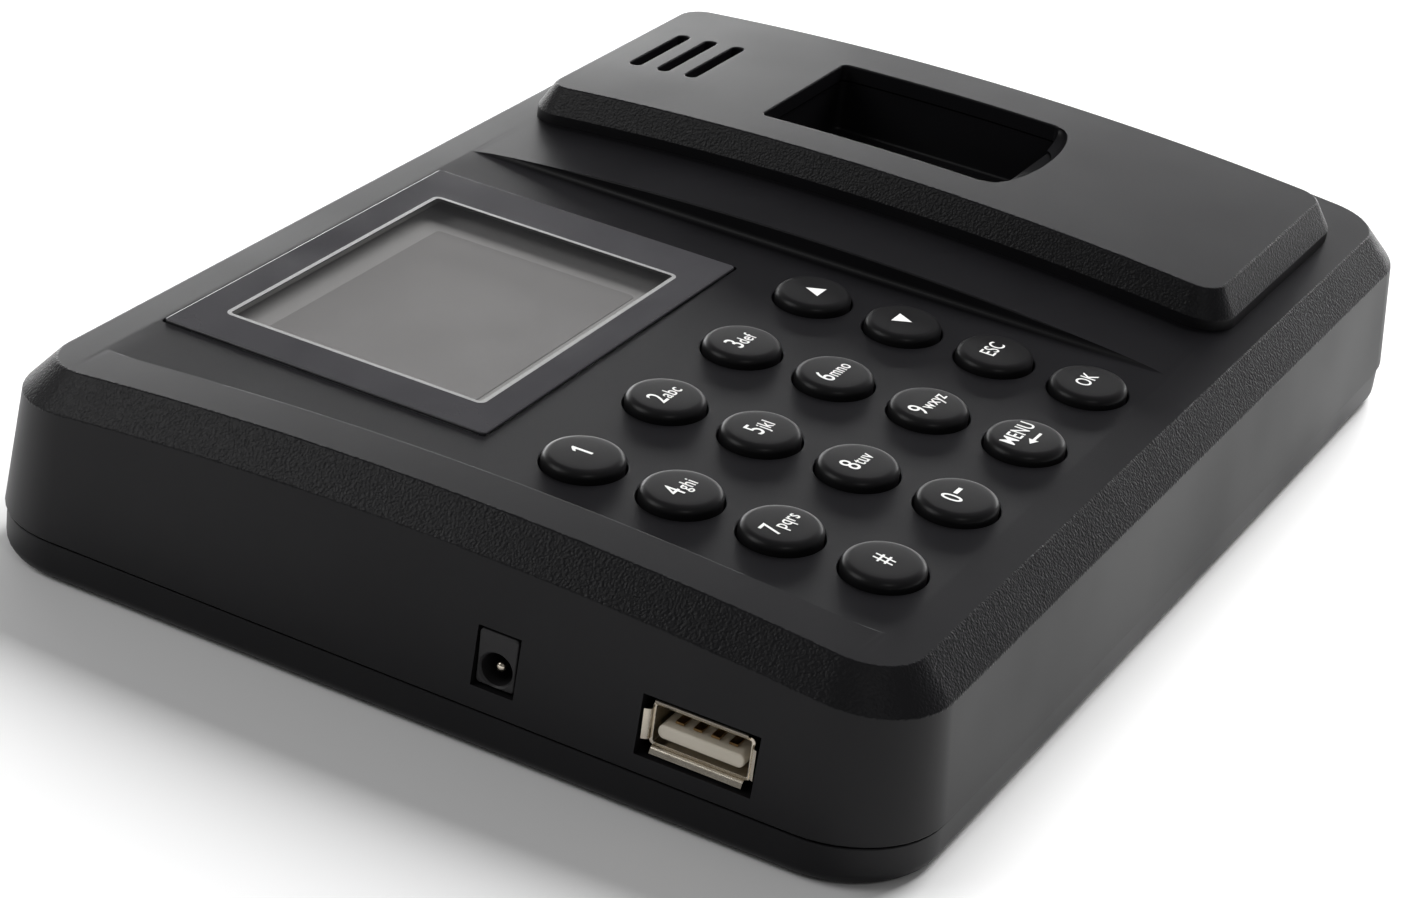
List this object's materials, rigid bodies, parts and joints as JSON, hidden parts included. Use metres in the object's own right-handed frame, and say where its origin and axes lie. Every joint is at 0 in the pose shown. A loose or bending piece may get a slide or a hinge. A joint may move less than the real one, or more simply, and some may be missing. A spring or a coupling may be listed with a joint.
{
  "type": "fingerprint scanner terminal",
  "caption": "Flat black fingerprint attendance terminal with a screen, a keypad, a raised finger sensor module and two side sockets.",
  "frame": {"origin": "under the middle of the back cover, on the surface that the terminal lies on", "axes": "+X to the reader's right along the long side, +Y to the top of the screen, +Z out of the front face"},
  "size_m": [0.1806, 0.1296, 0.0342],
  "materials": {
    "case_black": "black ABS, fine satin texture, with a grained band on the chamfered edges",
    "key_black": "black keys with satin crowns, glossy rims and white printed legends",
    "window": "clear screen window with a black printed border and a thin white line",
    "display": "switched-off grey display",
    "steel": "plain zinc-plated or stainless steel",
    "nickel": "bright nickel-plated folded sheet",
    "cream_plastic": "cream moulded plastic",
    "gold": "gold-plated contacts",
    "silicone": "grey moulded silicone",
    "board_green": "green solder mask",
    "chip_black": "black moulded resin",
    "sensor_glass": "dark optical glass",
    "cable_amber": "amber polyimide flat cable",
    "cone_black": "black paper cone"
  },
  "bodies": {
    "case": {"back_cover": "case_black", "board_screw_1": "steel", "board_screw_2": "steel", "board_screw_3": "steel", "case_screw_1": "steel", "case_screw_2": "steel", "case_screw_3": "steel", "case_screw_4": "steel", "cell_holder": "cream_plastic", "coin_cell": "steel", "dc_jack_body": "chip_black", "dc_jack_pin": "steel", "display_cable": "cable_amber", "display_socket": "cream_plastic", "front_shell": "case_black", "keypad_board": "board_green", "keypad_mat": "silicone", "keypad_screw_1": "steel", "keypad_screw_2": "steel", "keypad_screw_3": "steel", "keypad_screw_4": "steel", "lcd_frame": "steel", "lcd_panel": "display", "main_board": "board_green", "processor_chip": "chip_black", "screen_window": "window", "sensor_board": "board_green", "sensor_cable": "cable_amber", "sensor_housing": "case_black", "sensor_prism": "sensor_glass", "sensor_screw_1": "steel", "sensor_screw_2": "steel", "sensor_socket": "cream_plastic", "speaker_basket": "steel", "speaker_cone": "cone_black", "speaker_magnet": "steel", "speaker_mesh": "steel", "usb_contacts": "gold", "usb_shell": "nickel", "usb_tongue": "cream_plastic"},
    "key_0": {"key_0": "key_black"},
    "key_1": {"key_1": "key_black"},
    "key_2": {"key_2": "key_black"},
    "key_3": {"key_3": "key_black"},
    "key_4": {"key_4": "key_black"},
    "key_5": {"key_5": "key_black"},
    "key_6": {"key_6": "key_black"},
    "key_7": {"key_7": "key_black"},
    "key_8": {"key_8": "key_black"},
    "key_9": {"key_9": "key_black"},
    "key_down": {"key_down": "key_black"},
    "key_esc": {"key_esc": "key_black"},
    "key_hash": {"key_hash": "key_black"},
    "key_menu": {"key_menu": "key_black"},
    "key_ok": {"key_ok": "key_black"},
    "key_up": {"key_up": "key_black"}
  },
  "joints": [
    {"name": "key_0_press", "type": "slide", "parent": "case", "child": "key_0", "axis": [0, 0, -1], "range_m": [0, 0.001], "stiffness_N_per_m": 800},
    {"name": "key_1_press", "type": "slide", "parent": "case", "child": "key_1", "axis": [0, 0, -1], "range_m": [0, 0.001], "stiffness_N_per_m": 800},
    {"name": "key_2_press", "type": "slide", "parent": "case", "child": "key_2", "axis": [0, 0, -1], "range_m": [0, 0.001], "stiffness_N_per_m": 800},
    {"name": "key_3_press", "type": "slide", "parent": "case", "child": "key_3", "axis": [0, 0, -1], "range_m": [0, 0.001], "stiffness_N_per_m": 800},
    {"name": "key_4_press", "type": "slide", "parent": "case", "child": "key_4", "axis": [0, 0, -1], "range_m": [0, 0.001], "stiffness_N_per_m": 800},
    {"name": "key_5_press", "type": "slide", "parent": "case", "child": "key_5", "axis": [0, 0, -1], "range_m": [0, 0.001], "stiffness_N_per_m": 800},
    {"name": "key_6_press", "type": "slide", "parent": "case", "child": "key_6", "axis": [0, 0, -1], "range_m": [0, 0.001], "stiffness_N_per_m": 800},
    {"name": "key_7_press", "type": "slide", "parent": "case", "child": "key_7", "axis": [0, 0, -1], "range_m": [0, 0.001], "stiffness_N_per_m": 800},
    {"name": "key_8_press", "type": "slide", "parent": "case", "child": "key_8", "axis": [0, 0, -1], "range_m": [0, 0.001], "stiffness_N_per_m": 800},
    {"name": "key_9_press", "type": "slide", "parent": "case", "child": "key_9", "axis": [0, 0, -1], "range_m": [0, 0.001], "stiffness_N_per_m": 800},
    {"name": "key_down_press", "type": "slide", "parent": "case", "child": "key_down", "axis": [0, 0, -1], "range_m": [0, 0.001], "stiffness_N_per_m": 800},
    {"name": "key_esc_press", "type": "slide", "parent": "case", "child": "key_esc", "axis": [0, 0, -1], "range_m": [0, 0.001], "stiffness_N_per_m": 800},
    {"name": "key_hash_press", "type": "slide", "parent": "case", "child": "key_hash", "axis": [0, 0, -1], "range_m": [0, 0.001], "stiffness_N_per_m": 800},
    {"name": "key_menu_press", "type": "slide", "parent": "case", "child": "key_menu", "axis": [0, 0, -1], "range_m": [0, 0.001], "stiffness_N_per_m": 800},
    {"name": "key_ok_press", "type": "slide", "parent": "case", "child": "key_ok", "axis": [0, 0, -1], "range_m": [0, 0.001], "stiffness_N_per_m": 800},
    {"name": "key_up_press", "type": "slide", "parent": "case", "child": "key_up", "axis": [0, 0, -1], "range_m": [0, 0.001], "stiffness_N_per_m": 800}
  ]
}
